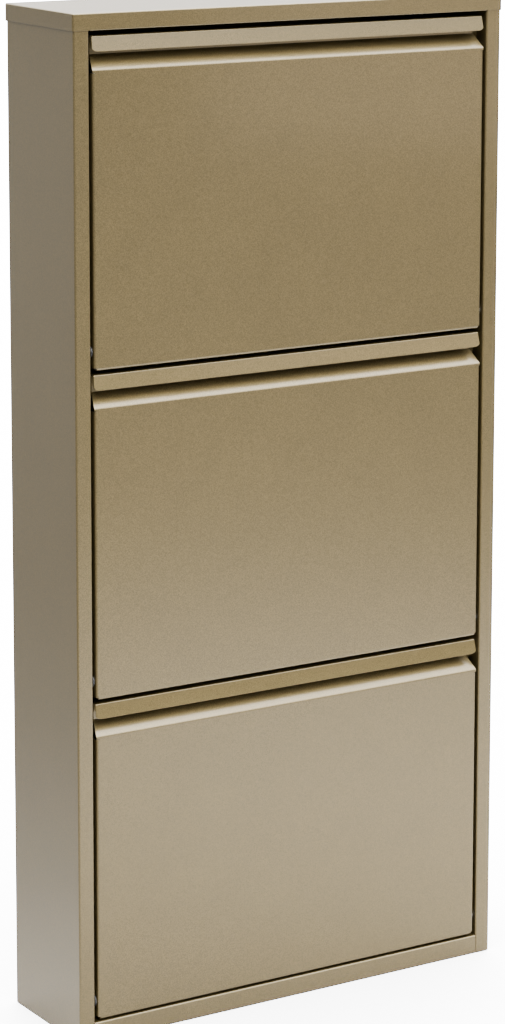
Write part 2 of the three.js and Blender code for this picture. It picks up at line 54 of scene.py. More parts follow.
# %% Sizes of the sheet metal
SHEET = 0.8 * mm
PANEL_BEND = 2.0 * mm      # outside radius on the side panels, base and rails
FACE_BEND = 2.5 * mm       # outside radius round a flap's face
LIP_BEND = 1.4 * mm
LIP_HEIGHT = 15 * mm
LIP_TILT = math.radians(12)
LIP_CORNER = 6.5 * mm
GRIP_DEPTH = 14 * mm
GRIP_END = 4 * mm
GRIP_DROP = 32.7 * mm      # lip top to the bend where the grip slope starts
EDGE_SOFT = 0.22 * mm      # coated edge of a cut sheet
ARC_STEPS = 8

FLAPS = ("bottom", "middle", "top")
SIDES = {"left": -1, "right": 1}

# %% [markdown]
# ## Camera
# A long lens from the left of the cabinet, a little above it, so the top shows only as a sliver.
# The lens is shifted by about a quarter of the picture's height, as on an architect's view
# camera. The camera then tilts less and the uprights stay nearer to parallel.

# %% Camera
CAMERA_PLACE = (-1.778, -2.898, 1.309)
heading, pitch, roll = (math.radians(a) for a in (33.10, -9.147, -0.343))
forward = Vector((math.sin(heading) * math.cos(pitch), math.cos(heading) * math.cos(pitch), math.sin(pitch)))
right = Vector((math.cos(heading), -math.sin(heading), 0))
down = forward.cross(right)
right, down = (right * math.cos(roll) + down * math.sin(roll),
               down * math.cos(roll) - right * math.sin(roll))
camera_data = bpy.data.cameras.new("camera")
camera_data.sensor_width = 36
camera_data.lens = 118.9
camera_data.shift_x = -0.0952
camera_data.shift_y = -0.2441
camera_data.clip_end = 50
camera = bpy.data.objects.new("camera", camera_data)
bpy.context.scene.collection.objects.link(camera)
turn = Matrix((right, -down, -forward)).transposed().to_4x4()
camera.matrix_world = Matrix.Translation(CAMERA_PLACE) @ turn
bpy.context.scene.camera = camera
print("camera", round(camera_data.lens, 1), "mm lens,", round(camera.location.length, 2), "m away")

# %% [markdown]
# ## Helpers for materials
# Colours are written as screen hex values and linearised once. One small function adds a shader
# node with its settings and plugs in whatever other nodes are handed to it.

# %% Material helpers
def colour(hex_value):
    channels = [int(hex_value[i:i + 2], 16) / 255 for i in (1, 3, 5)]
    return tuple(c / 12.92 if c <= 0.04045 else ((c + 0.055) / 1.055) ** 2.4 for c in channels) + (1,)


def add_node(tree, kind, settings=None, **inputs):
    """Adds a shader node. An input goes by its name, or by i and its number where names repeat."""
    node = tree.nodes.new("ShaderNode" + kind)
    for key, value in (settings or {}).items():
        setattr(node, key, value)
    for key, value in inputs.items():
        numbered = key[0] == "i" and key[1:].isdigit()
        socket = node.inputs[int(key[1:]) if numbered else key.replace("_", " ")]
        if isinstance(value, bpy.types.NodeSocket):
            tree.links.new(value, socket)
        else:
            socket.default_value = value
    return node


def new_material(name):
    material = bpy.data.materials.new(name)
    material.use_nodes = True
    tree = material.node_tree
    shader = tree.nodes["Principled BSDF"]
    place = add_node(tree, "TexCoord").outputs["Object"]
    return material, tree, shader, place


def noise(tree, place, size, detail=2.0, roughness=0.5):
    """Noise whose blobs are about `size` metres across."""
    node = add_node(tree, "TexNoise", Vector=place, Scale=1 / size, Detail=detail, Roughness=roughness)
    return node.outputs["Fac"]


def ramp(tree, value, low, high, to_low, to_high):
    return add_node(tree, "MapRange", Value=value, i1=low, i2=high, i3=to_low, i4=to_high).outputs["Result"]

# %% [markdown]
# ## Champagne powder coat
# A bronze-champagne metallic powder, baked on: metal flake in a clear binder. The spray leaves a
# fine orange peel and a grain of flake just under 1 mm, and the shade drifts by 3 per cent either
# way over some 60 mm. The binder adds a second, colourless reflection.

# %% Champagne powder coat
FLAKE_SIZE = 0.9 * mm
CLOUD_SIZE = 60 * mm
PEEL_SIZE = 2.6 * mm
CLOUD_DRIFT = (0.97, 1.03)


def champagne_coat(name, tint):
    material, tree, shader, place = new_material(name)
    flake = noise(tree, place, FLAKE_SIZE, 3, 0.6)
    cloud = noise(tree, place, CLOUD_SIZE, 3, 0.5)
    peel = noise(tree, place, PEEL_SIZE, 2, 0.45)
    shade = add_node(tree, "Mix", {"data_type": "RGBA"}, Factor=ramp(tree, flake, 0.35, 0.65, 0, 1))
    shade.inputs[6].default_value = colour(tint[0])
    shade.inputs[7].default_value = colour(tint[1])
    drift = add_node(tree, "HueSaturation", Color=shade.outputs[2],
                     Value=ramp(tree, cloud, 0.3, 0.7, *CLOUD_DRIFT))
    tree.links.new(drift.outputs["Color"], shader.inputs["Base Color"])
    tree.links.new(ramp(tree, flake, 0.3, 0.7, 0.40, 0.50), shader.inputs["Roughness"])
    shader.inputs["Metallic"].default_value = 0.8
    shader.inputs["Coat Weight"].default_value = 0.42
    shader.inputs["Coat Roughness"].default_value = 0.16
    waves = add_node(tree, "Bump", Height=peel, Strength=0.35, Distance=0.10 * mm)
    grain = add_node(tree, "Bump", Height=flake, Strength=0.35, Distance=0.03 * mm,
                     Normal=waves.outputs["Normal"])
    tree.links.new(grain.outputs["Normal"], shader.inputs["Normal"])
    tree.links.new(waves.outputs["Normal"], shader.inputs["Coat Normal"])
    return material


coat = champagne_coat("champagne_powder_coat", ("#3b3318", "#534629"))
print("made", coat.name)

# %% [markdown]
# ## Small parts' finishes
# The pins, studs, screws and the wall rail are bright zinc, mottled and finely marked. Bushes and
# feet are black moulded plastic with a matt grain, and the buffers are grey rubber with a dusty
# bloom.

# %% Zinc, plastic and rubber
def zinc_plate():
    material, tree, shader, place = new_material("bright_zinc")
    mottle = noise(tree, place, 1.5 * mm, 4, 0.6)
    shade = add_node(tree, "Mix", {"data_type": "RGBA"}, Factor=mottle)
    shade.inputs[6].default_value = colour("#a9adb2")
    shade.inputs[7].default_value = colour("#cfd2d4")
    tree.links.new(shade.outputs[2], shader.inputs["Base Color"])
    tree.links.new(ramp(tree, mottle, 0.3, 0.7, 0.24, 0.42), shader.inputs["Roughness"])
    shader.inputs["Metallic"].default_value = 1.0
    marks = add_node(tree, "Bump", Height=noise(tree, place, 0.4 * mm, 3), Strength=0.25, Distance=0.02 * mm)
    tree.links.new(marks.outputs["Normal"], shader.inputs["Normal"])
    return material


def moulded(name, dark, light, rough, grain, depth):
    material, tree, shader, place = new_material(name)
    speck = noise(tree, place, grain, 3, 0.6)
    shade = add_node(tree, "Mix", {"data_type": "RGBA"}, Factor=speck)
    shade.inputs[6].default_value = colour(dark)
    shade.inputs[7].default_value = colour(light)
    tree.links.new(shade.outputs[2], shader.inputs["Base Color"])
    tree.links.new(ramp(tree, speck, 0.3, 0.7, rough - 0.06, rough + 0.06), shader.inputs["Roughness"])
    skin = add_node(tree, "Bump", Height=speck, Strength=0.5, Distance=depth)
    tree.links.new(skin.outputs["Normal"], shader.inputs["Normal"])
    return material


zinc = zinc_plate()
plastic = moulded("black_moulded_plastic", "#161617", "#242426", 0.5, 0.35 * mm, 0.03 * mm)
rubber = moulded("dusty_grey_rubber", "#2c2b29", "#4a4843", 0.82, 1.2 * mm, 0.08 * mm)
print("made", zinc.name, plastic.name, rubber.name)

# %% [markdown]
# ## Helpers for sheet metal
# A press brake folds a flat blank along straight lines. Most sheets start the same way here: a
# few vertices give the folded outline, extruding them gives flat panels, and each fold line is
# bevelled to its bend radius. That surface is the middle of the sheet; Solidify then gives it its
# gauge, and a last small bevel gives the cut edges the roundness that a coat of powder leaves.

# %% Sheet-metal helpers
PROFILE_AXES = {"x": ("y", "z"), "z": ("x", "y")}
NEAR = 1e-6                # places closer than this are the same place
LOOSE = 1e-5
HOLE_STEPS = 40
HALF = SHEET / 2


def in_profile(vertex, axis, corner):
    return all(abs(getattr(vertex.co, a) - value) < LOOSE for a, value in zip(PROFILE_AXES[axis], corner))


def fold_lines(work, axis, corner):
    return [e for e in work.edges if all(in_profile(v, axis, corner) for v in e.verts)]


def round_fold(work, edges, radius, segments=ARC_STEPS):
    """Bevels fold lines so that the sheet turns on an arc of this radius."""
    angle = edges[0].calc_face_angle()
    bmesh.ops.bevel(work, geom=edges, offset=radius * math.tan(angle / 2), offset_type="OFFSET",
                    segments=max(2, round(segments * angle / (math.pi / 2))), profile=0.5,
                    affect="EDGES", material=-1)


def pull_out(work, edges, way):
    """Pulls a new panel out of some edges, along a vector."""
    grown = bmesh.ops.extrude_edge_only(work, edges=edges)["geom"]
    bmesh.ops.translate(work, vec=way, verts=[g for g in grown if isinstance(g, bmesh.types.BMVert)])


def slice_at(work, faces, spot, normal, **clear):
    """Cuts only these faces along a plane."""
    parts = dict.fromkeys(faces + [e for f in faces for e in f.edges] + [v for f in faces for v in f.verts])
    bmesh.ops.bisect_plane(work, geom=list(parts), plane_co=spot, plane_no=normal, **clear)


def panels(corners, axis, low, high):
    """Flat panels of zero thickness along an outline, extruded from low to high along an axis."""
    work = bmesh.new()
    line = []
    for corner in corners:
        spot = Vector()
        for a, value in zip(PROFILE_AXES[axis], corner):
            setattr(spot, a, value)
        setattr(spot, axis, low)
        line.append(work.verts.new(spot))
    edges = [work.edges.new(pair) for pair in zip(line, line[1:])]
    pull_out(work, edges, Vector([high - low if a == axis else 0 for a in "xyz"]))
    return work


def folded_sheet(corners, bends, axis, low, high):
    """Panels with every inner corner rounded to its bend radius (of the middle of the sheet)."""
    work = panels(corners, axis, low, high)
    for corner, bend in zip(corners[1:-1], bends):
        round_fold(work, fold_lines(work, axis, corner), bend)
    return work


def slab(low, high):
    """A bmesh box between two corners."""
    work = bmesh.new()
    bmesh.ops.create_cube(work, size=1)
    bmesh.ops.scale(work, vec=Vector(high) - Vector(low), verts=work.verts)
    bmesh.ops.translate(work, vec=(Vector(low) + Vector(high)) / 2, verts=work.verts)
    return work


def drill(centre, radius, axis, length=6 * mm):
    """A bmesh rod that cuts a round hole."""
    work = bmesh.new()
    bmesh.ops.create_cone(work, cap_ends=True, segments=HOLE_STEPS, radius1=radius, radius2=radius,
                          depth=length)
    way = {"x": Matrix.Rotation(math.pi / 2, 4, "Y"), "y": Matrix.Rotation(math.pi / 2, 4, "X")}[axis]
    bmesh.ops.transform(work, matrix=Matrix.Translation(centre) @ way, verts=work.verts)
    return work


def finished(name, work, material, body, replaced, gauge=0, offset=0, cutters=(), soft=EDGE_SOFT):
    bmesh.ops.recalc_face_normals(work, faces=work.faces)
    mesh = bpy.data.meshes.new(name)
    work.to_mesh(mesh)
    work.free()
    piece = bpy.data.objects.new(name, mesh)
    bpy.context.scene.collection.objects.link(piece)
    bpy.context.view_layer.objects.active = piece
    mesh.materials.append(material)
    if gauge:
        thick = piece.modifiers.new("gauge", "SOLIDIFY")
        thick.thickness = gauge
        thick.offset = offset
        thick.use_even_offset = True
        thick.use_quality_normals = True
        bpy.ops.object.modifier_apply(modifier=thick.name)
    for cutter in cutters:
        bmesh.ops.recalc_face_normals(cutter, faces=cutter.faces)
        tool_mesh = bpy.data.meshes.new("cutter")
        cutter.to_mesh(tool_mesh)
        cutter.free()
        tool = bpy.data.objects.new("cutter", tool_mesh)
        bpy.context.scene.collection.objects.link(tool)
        boolean = piece.modifiers.new("cut", "BOOLEAN")
        boolean.object = tool
        boolean.operation = "DIFFERENCE"
        boolean.solver = "EXACT"
        bpy.ops.object.modifier_apply(modifier=boolean.name)
        bpy.data.objects.remove(tool)
    piece.data.polygons.foreach_set("use_smooth", [True] * len(piece.data.polygons))
    if soft:
        bevel = piece.modifiers.new("soft_edges", "BEVEL")
        bevel.width = soft
        bevel.segments = 2
        bevel.limit_method = "ANGLE"
        bevel.angle_limit = math.radians(40)
        weigh = piece.modifiers.new("flat_faces_stay_flat", "WEIGHTED_NORMAL")
        weigh.keep_sharp = True
        weigh.weight = 100
    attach(piece, body)
    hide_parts(*replaced)
    return piece


def coated(name, work, body, replaced, cutters=()):
    return finished(name, work, coat, body, replaced, gauge=SHEET, cutters=cutters)


def middle(node):
    low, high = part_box(node)
    return (low + high) / 2


print("bend radii", PANEL_BEND / mm, FACE_BEND / mm, LIP_BEND / mm, "mm outside a", SHEET / mm, "mm sheet")

# %% [markdown]
# ## Side panels
# Each side is one blank of four panels: the rear flange that the back panel screws to, the skin,
# the front stile and the stile's return, which is drilled for the hinge pins. The blank stops a
# millimetre above the floor, because the cabinet stands on feet hidden under its base.

# %% Side panels
PANEL_ARC = PANEL_BEND - HALF
STILE_RETURN = 25 * mm
REAR_FLANGE = 16 * mm
PIN_HOLE = 3.2 * mm
SCREW_HOLE = 2 * mm
for side, s in SIDES.items():
    node = side + "_side_panel"
    low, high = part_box(node)
    outer, inner = max(abs(low.x), abs(high.x)), min(abs(low.x), abs(high.x))
    back, front, skin, fold = high.y - HALF, low.y + HALF, s * (outer - HALF), s * (inner + HALF)
    outline = [(s * (outer - REAR_FLANGE), back), (skin, back), (skin, front), (fold, front),
               (fold, low.y + STILE_RETURN)]
    holes = [drill(Vector((fold, *middle(f"{f}_hinge_pin_{side}").yz)), PIN_HOLE, "x") for f in FLAPS]
    screws = [middle(f"back_screw_{side}_{level}") for level in ("lower", "middle", "upper")]
    holes += [drill(Vector((at.x, back, at.z)), SCREW_HOLE, "y") for at in screws]
    panel = coated(side + "_side", folded_sheet(outline, [PANEL_ARC] * 3, "z", low.z, high.z),
                   "cabinet", [node], holes)
    print(panel.name, "is", round((high.z - low.z) / mm, 1), "mm high with", len(holes), "holes")

# %% [markdown]
# ## Top cover
# A shallow lid pressed from one blank, so its upright corners and its upper edge are rounded
# together: a box without its floor, with those edges bevelled. The front skirt is folded inward
# along its lower edge between two relief slits, which keeps the line above the flap straight.

# %% Top cover
COVER_CORNER = 2.2 * mm
COVER_EDGE = 1.5 * mm
COVER_RETURN = 10 * mm
COVER_ARC = 1.0 * mm
SLIT = 0.6 * mm
SEAM_GAP = 0.1 * mm
low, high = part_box("top_cover")
stile_edge = min(abs(c.x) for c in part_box("right_side_panel")) - SEAM_GAP
lid = slab(low, high)
bmesh.ops.delete(lid, geom=[f for f in lid.faces if f.normal.z < -0.9], context="FACES")
for x in (-stile_edge - SLIT, -stile_edge, stile_edge, stile_edge + SLIT):
    bmesh.ops.bisect_plane(lid, geom=lid.verts[:] + lid.edges[:] + lid.faces[:],
                           plane_co=(x, 0, 0), plane_no=(1, 0, 0))
slice_at(lid, [f for f in lid.faces if f.normal.y < -0.9], (0, 0, low.z + 2 * SLIT), (0, 0, 1))
slits = [f for f in lid.faces if f.normal.y < -0.9 and f.calc_center_median().z < low.z + 2 * SLIT
         and abs(abs(f.calc_center_median().x) - stile_edge - SLIT / 2) < LOOSE]
bmesh.ops.delete(lid, geom=slits, context="FACES")
upright = [e for e in lid.edges if abs(e.verts[0].co.z - e.verts[1].co.z) > 0.1 * mm
           and abs(abs(e.verts[0].co.x) - high.x) < NEAR and abs(abs(e.verts[0].co.y) - high.y) < NEAR]
bmesh.ops.bevel(lid, geom=upright, offset=COVER_CORNER, segments=8, profile=0.5,
                affect="EDGES", material=-1)
upper = [e for e in lid.edges if all(abs(v.co.z - high.z) < NEAR for v in e.verts)
         and e.calc_face_angle(0) > 1]
bmesh.ops.bevel(lid, geom=upper, offset=COVER_EDGE, segments=6, profile=0.5, affect="EDGES", material=-1)
lower = [e for e in lid.edges if all(abs(v.co.z - low.z) < NEAR and abs(v.co.y - low.y) < NEAR
                                     and abs(v.co.x) < stile_edge + LOOSE for v in e.verts)]
pull_out(lid, lower, (0, COVER_RETURN, 0))
round_fold(lid, lower, COVER_ARC)
cover = finished("top_cover_lid", lid, coat, "cabinet", ["top_cover"],
                 gauge=SHEET, offset=-1)
print(cover.name, "skirt", round((high.z - low.z) / mm, 1), "mm, fold to x", round(stile_edge / mm, 1), "mm")

# %% [markdown]
# ## Base, cross rails and wall rail
# The base is a tray laid upside down, and its front fold is the rail under the lowest flap. Three
# cross rails tie the stiles together behind the lips, and a channel inside the back carries the
# wall screws. All are channels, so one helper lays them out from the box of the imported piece.

# %% Base, cross rails and wall rail
def channel(node, opens):
    """A channel along x that fills its packed box and opens down, forward or back."""
    low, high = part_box(node)
    front, back, floor, top = low.y + HALF, high.y - HALF, low.z + HALF, high.z - HALF
    outline = {"down": [(front, low.z), (front, top), (back, top), (back, low.z)],
               "back": [(high.y, floor), (front, floor), (front, top), (high.y, top)],
               "forward": [(low.y, floor), (back, floor), (back, top), (low.y, top)]}[opens]
    return folded_sheet(outline, [PANEL_ARC] * 2, "x", low.x, high.x), low, high


base, low, high = channel("base_tray", "down")
NOTCH_IN = 2.5 * mm
NOTCH_WIDE = 1.1 * mm
PAST = 1 * mm              # a cutter reaches this far past what it cuts
notches = []
for s in SIDES.values():
    for x_from, y_from, y_to in ((stile_edge, low.y - PAST, low.y + STILE_RETURN + SEAM_GAP),
                                 (high.x - NOTCH_WIDE, high.y - NOTCH_IN, high.y + PAST)):
        across = sorted((s * x_from, s * (high.x + PAST)))
        notches.append(slab((across[0], y_from, -PAST), (across[1], y_to, high.z + PAST)))
base = coated("base_rail_and_tray", base, "cabinet", ["base_tray"], notches)

TAB = 7 * mm
for f in FLAPS:
    rail, low, high = channel(f + "_cross_rail", "back")
    for s in SIDES.values():
        edges = [e for e in rail.edges if all(abs(v.co.x - s * high.x) < NEAR
                                              and abs(v.co.y - low.y - HALF) < NEAR for v in e.verts)]
        for e in edges:
            for v in e.verts:
                v.co.x -= s * HALF
        pull_out(rail, edges, (0, TAB, 0))
    coated(f + "_rail_behind_lip", rail, "cabinet", [f + "_cross_rail"])

WALL_HOLE = 4 * mm
WALL_HOLE_X = 150 * mm
wall_rail, low, high = channel("wall_rail", "forward")
holes = [drill(Vector((s * WALL_HOLE_X, high.y - HALF, (low.z + high.z) / 2)), WALL_HOLE, "y")
         for s in SIDES.values()]
wall_rail = finished("wall_screw_rail", wall_rail, zinc, "cabinet", ["wall_rail"], SHEET,
                     cutters=holes)
print(base.name, wall_rail.name, "and", len(FLAPS), "cross rails")

# %% [markdown]
# ## Back panel
# A flat plate that covers the whole back, screwed to both side flanges, with two holes for the
# wall screws. Its corners are clipped round so that they don't catch a carpet or a hand.

# %% Back panel
PLATE_CORNER = 3 * mm
low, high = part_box("back_panel")
plate = slab(low, (high.x, low.y + SHEET, high.z))
corners = [e for e in plate.edges if abs(e.verts[0].co.y - e.verts[1].co.y) > LOOSE]
bmesh.ops.bevel(plate, geom=corners, offset=PLATE_CORNER, segments=6, profile=0.5,
                affect="EDGES", material=-1)
at_y = low.y + HALF
screws = [middle(n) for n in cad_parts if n.startswith("back_screw")]
holes = [drill(Vector((at.x, at_y, at.z)), SCREW_HOLE, "y") for at in screws]
holes += [drill(Vector((s * WALL_HOLE_X, at_y, middle("wall_rail").z)), WALL_HOLE, "y")
          for s in SIDES.values()]
plate = finished("back_plate", plate, coat, "cabinet", ["back_panel"], cutters=holes)
print(plate.name, [round(v / mm, 1) for v in high - low], "with", len(holes), "holes")

# %% [markdown]
# ## Flap fronts
# The visible front of each flap is one blank: the face, a slope that leads the fingers back, the
# wall of the recess, the top, and the lip that turns down in front. The sides fold back only
# beside the face, so slits are cut where folds would meet, and the ends above are mitred. It is
# laid out sharp, cut like the blank, and then each fold line is bevelled.

# %% Flap fronts
FLAP_FLANGE = 18 * mm
FACE_ARC, LIP_ARC = FACE_BEND - HALF, LIP_BEND - HALF
BUSH_HOLE = 4.4 * mm
RELIEF = 0.7 * mm
CLEAR = 0.3 * mm           # a notch reaches this far past the fold it frees
MITRE_START = 1.2 * mm     # behind the face, where the mitred ends start to draw in
FLANGE_DRILL = 3 * mm


def flap_outline(low, height):
    """Corners of the sheet's middle line in (y, z), from the foot's rear edge to the lip's edge."""
    grip = height - GRIP_DROP - HALF * math.tan(math.pi / 8)
    lip_top = (LIP_HEIGHT - HALF) * math.tan(LIP_TILT) + HALF / math.cos(LIP_TILT)
    local = [(FLAP_FLANGE, HALF), (HALF, HALF), (HALF, grip), (GRIP_DEPTH + HALF, grip + GRIP_DEPTH),
             (GRIP_DEPTH + HALF, height - HALF), (lip_top, height - HALF),
             (HALF / math.cos(LIP_TILT), height - LIP_HEIGHT)]
    return [(low.y + y, low.z + z) for y, z in local]


def flap_blank(low, high):
    """The flap front as flat panels that are cut to shape and folded."""
    height, wide = high.z - low.z, high.x
    outline = flap_outline(low, height)
    work = panels(outline, "x", -wide, wide)
    bmesh.ops.recalc_face_normals(work, faces=work.faces)
    relief = low.z + height - GRIP_DROP - FACE_BEND
    face_y = low.y + HALF

    def face_panels():
        return [f for f in work.faces if all(abs(v.co.y - face_y) < NEAR for v in f.verts)]

    notch_in, notch_up = wide - FACE_BEND - CLEAR, low.z + FACE_BEND + CLEAR
    for z in (notch_up, relief - RELIEF, relief):
        slice_at(work, face_panels(), (0, 0, z), (0, 0, 1))
    for s in SIDES.values():
        lower = [f for f in work.faces if f.calc_center_median().z < relief]
        slice_at(work, lower, (s * notch_in, 0, 0), (1, 0, 0))
    ends = [f for f in work.faces if abs(f.calc_center_median().x) > notch_in]
    notches = [f for f in ends if f.calc_center_median().z < notch_up
               or relief - RELIEF < f.calc_center_median().z < relief]
    bmesh.ops.delete(work, geom=notches, context="FACES")
    for s in SIDES.values():
        upper = [f for f in work.faces if f.calc_center_median().z > relief]
        mitre = Vector((s * (GRIP_DEPTH - MITRE_START), GRIP_END, 0))
        slice_at(work, upper, (s * wide, low.y + MITRE_START, 0), mitre, clear_outer=True)
    for s in SIDES.values():
        edge = [e for e in work.edges if all(abs(v.co.x - s * wide) < NEAR and abs(v.co.y - face_y) < NEAR
                and notch_up - NEAR < v.co.z < relief - RELIEF + NEAR for v in e.verts)]
        for v in {v for e in edge for v in e.verts}:
            v.co.x -= s * HALF
        pull_out(work, edge, (0, FLAP_FLANGE - HALF, 0))
        round_fold(work, edge, FACE_ARC)
    tips = [v for v in work.verts if abs(v.co.z - outline[-1][1]) < NEAR and abs(abs(v.co.x) - wide) < NEAR]
    bmesh.ops.bevel(work, geom=tips, offset=LIP_CORNER, segments=10, profile=0.5,
                    affect="VERTICES", material=-1)
    for corner, arc in zip(outline[1:-1], (FACE_ARC, FACE_ARC, LIP_ARC, LIP_ARC, LIP_ARC)):
        round_fold(work, fold_lines(work, "x", corner), arc)
    return work


for f in FLAPS:
    node = f + "_flap_front"
    low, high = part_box(node)
    holes = [drill(Vector((s * high.x, *middle(f"{f}_hinge_bush_{side}").yz)), BUSH_HOLE, "x", FLANGE_DRILL)
             for side, s in SIDES.items()]
    front = coated(f + "_front_sheet", flap_blank(low, high), f + "_flap", [node], holes)
    print(front.name, len(front.data.polygons), "faces,", [round(v / mm, 1) for v in high - low], "mm")

# %% [markdown]
# ## Shoe pockets
# Behind each front, two flat cheeks, a floor tray and a channel along the back hold the shoes.
# The cheek's slanted rear edge is what lets the pocket tip out past the rail above it. Cheeks are
# laser-cut, so they are drawn as one outline, rounded at its rear corner and given their gauge.

# %% Shoe pockets
CHEEK_CLIP = 14 * mm * math.tan(math.radians(17))     # the rounding starts this far from the corner
CHEEK_FOLD_IN = 18 * mm
CHEEK_ABOVE_STOP = 12 * mm
STOP_HOLE = 2.2 * mm
TRAY_SIDE_RISE = 10.7 * mm


def panels_at(work, z):
    """The level panels at this height."""
    return [f for f in work.faces if abs(f.calc_center_median().z - z) < NEAR]


for f in FLAPS:
    face_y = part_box(f + "_flap_front")[0].y
    for side, s in SIDES.items():
        node = f"{f}_cheek_{side}"
        low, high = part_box(node)
        stop, pivot = middle(f"{f}_stop_pin_{side}"), middle(f"{f}_hinge_bush_{side}")
        work = bmesh.new()
        at_x = (low.x + high.x) / 2
        outline = [(low.y, low.z), (high.y, low.z), (high.y, stop.z + CHEEK_ABOVE_STOP),
                   (face_y + CHEEK_FOLD_IN, high.z), (low.y, high.z)]
        spots = [work.verts.new((at_x, y, z)) for y, z in outline]
        work.faces.new(spots)
        bmesh.ops.bevel(work, geom=[spots[2]], offset=CHEEK_CLIP, segments=8,
                        profile=0.5, affect="VERTICES", material=-1)
        holes = [drill(Vector((at_x, *pivot.yz)), BUSH_HOLE, "x"),
                 drill(Vector((at_x, *stop.yz)), STOP_HOLE, "x")]
        coated(f"{f}_pocket_end_{side}", work, f + "_flap", [node], holes)

    node = f + "_shoe_tray"
    low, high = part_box(node)
    floor_z, rear_y = low.z + HALF, high.y - HALF
    tray = panels([(low.y, floor_z), (rear_y, floor_z), (rear_y, high.z)], "x", low.x, high.x)
    for y in (rear_y - PANEL_BEND - RELIEF, rear_y - PANEL_BEND):
        slice_at(tray, panels_at(tray, floor_z), (0, y, 0), (0, 1, 0))
    for s in SIDES.values():
        slice_at(tray, panels_at(tray, floor_z), (s * (high.x - PANEL_BEND - CLEAR), 0, 0), (1, 0, 0))
    slits = [p for p in tray.faces if abs(p.calc_center_median().x) > high.x - PANEL_BEND - CLEAR
             and rear_y - PANEL_BEND - RELIEF < p.calc_center_median().y < rear_y - PANEL_BEND]
    bmesh.ops.delete(tray, geom=slits, context="FACES")
    for s in SIDES.values():
        edge = [e for e in tray.edges if all(abs(v.co.x - s * high.x) < NEAR and abs(v.co.z - floor_z) < NEAR
                and v.co.y < rear_y - PANEL_BEND - RELIEF + NEAR for v in e.verts)]
        for v in {v for e in edge for v in e.verts}:
            v.co.x -= s * HALF
        pull_out(tray, edge, (0, 0, TRAY_SIDE_RISE))
        round_fold(tray, edge, PANEL_ARC)
    round_fold(tray, fold_lines(tray, "x", (rear_y, floor_z)), PANEL_ARC)
    coated(f + "_pocket_floor", tray, f + "_flap", [node])

    rail, low, high = channel(f + "_rear_rail", "back")
    coated(f + "_pocket_back_rail", rail, f + "_flap", [f + "_rear_rail"])

# %% [markdown]
# ## Pins, bushes, studs, buffers, screws and feet
# All of these are round, so each is half a section spun once about its own axis. Every section
# starts and ends on the axis, except the bush's, which closes on itself round its bore. A fine
# bevel softens the rims.

# %% Turned parts
TURN_STEPS = 48
RIM_SOFT = 0.16 * mm


def turned_part(section, axis, seat, sense=1, ring=False):
    """Spins a section of (along, radius), in mm, round an axis through its seat."""
    work = bmesh.new()
    line = [work.verts.new((radius * mm, 0, along * mm)) for along, radius in section]
    edges = [work.edges.new(pair) for pair in zip(line, line[1:] + (line[:1] if ring else []))]
    bmesh.ops.spin(work, geom=line + edges, axis=(0, 0, 1), cent=(0, 0, 0), angle=math.tau,
                   steps=TURN_STEPS, use_merge=True)
    bmesh.ops.remove_doubles(work, verts=work.verts, dist=NEAR)
    way = {"x": Vector((sense, 0, 0)), "y": Vector((0, sense, 0)), "z": Vector((0, 0, sense))}[axis]
    turn = way.to_track_quat("Z", "Y").to_matrix().to_4x4()
    bmesh.ops.transform(work, matrix=Matrix.Translation(seat) @ turn, verts=work.verts)
    return work


def small(name, work, material, body, node, cutters=()):
    return finished(name, work, material, body, [node], soft=RIM_SOFT, cutters=cutters)


for f in FLAPS:
    for side, s in SIDES.items():
        low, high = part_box(f"{f}_hinge_pin_{side}")
        length = (high.x - low.x) / mm
        head_x = s * max(abs(low.x), abs(high.x))
        pin = turned_part([(0, 0), (0, 4.6), (0.5, 5.7), (1.2, 6), (2.4, 6), (2.4, 3), (length - 1.7, 3),
                           (length - 1.7, 3.5), (length - 1.2, 3.5), (length, 2.2), (length, 0)],
                          "x", (head_x, *middle(f"{f}_hinge_pin_{side}").yz), -s)
        small(f"{f}_pivot_pin_{side}", pin, zinc, "cabinet", f"{f}_hinge_pin_{side}")

        low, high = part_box(f"{f}_hinge_bush_{side}")
        outer, length = s * max(abs(low.x), abs(high.x)), (high.x - low.x) / mm
        bush = turned_part([(0, 3.2), (0, 6), (1.2, 6), (1.2, 4.2), (length - 0.5, 4.2), (length, 3.9),
                            (length, 3.2)],
                           "x", (outer, *middle(f"{f}_hinge_bush_{side}").yz), -s, ring=True)
        small(f"{f}_bush_{side}", bush, plastic, f + "_flap", f"{f}_hinge_bush_{side}")

        low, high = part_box(f"{f}_stop_pin_{side}")
        outer, length = s * max(abs(low.x), abs(high.x)), (high.x - low.x) / mm
        stud = turned_part([(0, 0), (0, 2.4), (0.6, 3), (9.5, 3), (9.5, 2), (length - 1, 2),
                            (length - 1, 2.8), (length - 0.4, 2.5), (length, 1.6), (length, 0)],
                           "x", (outer, *middle(f"{f}_stop_pin_{side}").yz), -s)
        small(f"{f}_stop_stud_{side}", stud, zinc, f + "_flap", f"{f}_stop_pin_{side}")

        low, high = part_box(f"{f}_buffer_{side}")
        at = middle(f"{f}_buffer_{side}")
        pad = turned_part([(0, 0), (0, 5), (1.4, 4.6), (2.3, 4), (2.6, 2.6), (2.6, 0)],
                          "y", (at.x, high.y, at.z), -1)
        small(f"{f}_rubber_pad_{side}", pad, rubber, "cabinet", f"{f}_buffer_{side}")
print("made", 8 * len(FLAPS), "pins, bushes, studs and pads")

